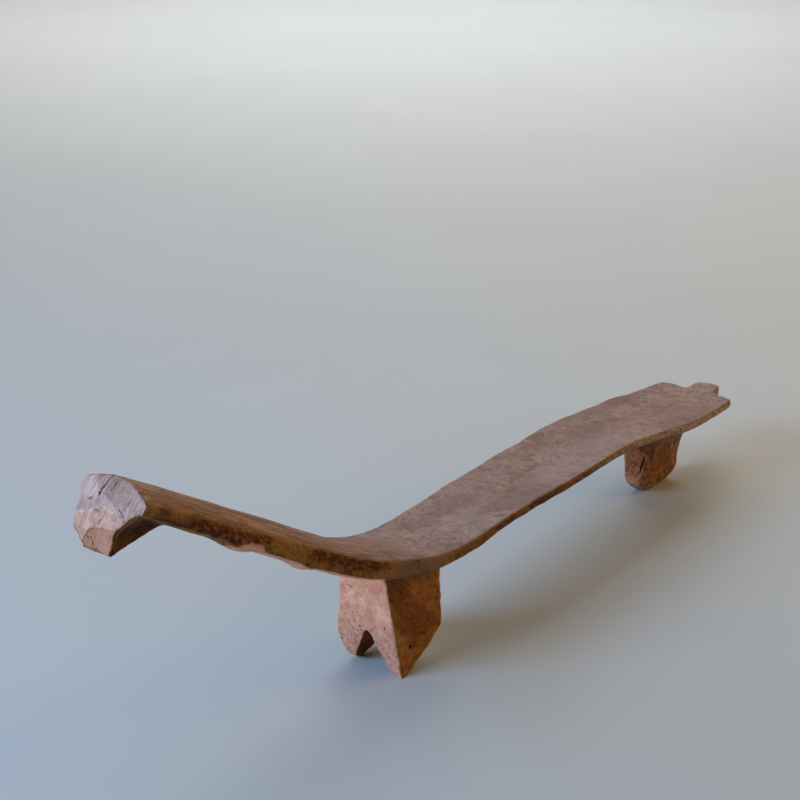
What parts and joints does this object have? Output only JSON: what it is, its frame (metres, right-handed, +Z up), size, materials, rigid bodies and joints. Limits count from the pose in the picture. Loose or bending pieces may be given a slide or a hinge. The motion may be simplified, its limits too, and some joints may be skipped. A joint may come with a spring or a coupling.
{
  "type": "senufo daybed",
  "caption": "Long low daybed carved from a solid log, with a raised sloping headrest, a dished board, a notched front leg and a tapered rear leg.",
  "frame": {"origin": "on the floor, under the middle of the bed's overall box", "axes": "+X along the bed from the headrest to the foot, +Y across it, +Z up"},
  "size_m": [2.066, 0.2337, 0.6048],
  "materials": {
    "cut_end_wood": "matte, hewn",
    "neck_wood": "satin, worn",
    "board_wood": "satin, worn",
    "leg_wood": "matte, hewn"
  },
  "bodies": {
    "root": {"headrest_block": "cut_end_wood", "neck": "neck_wood", "bed_board": "board_wood", "foot_tongue": "board_wood", "front_leg": "leg_wood", "rear_leg": "leg_wood"}
  },
  "joints": []
}
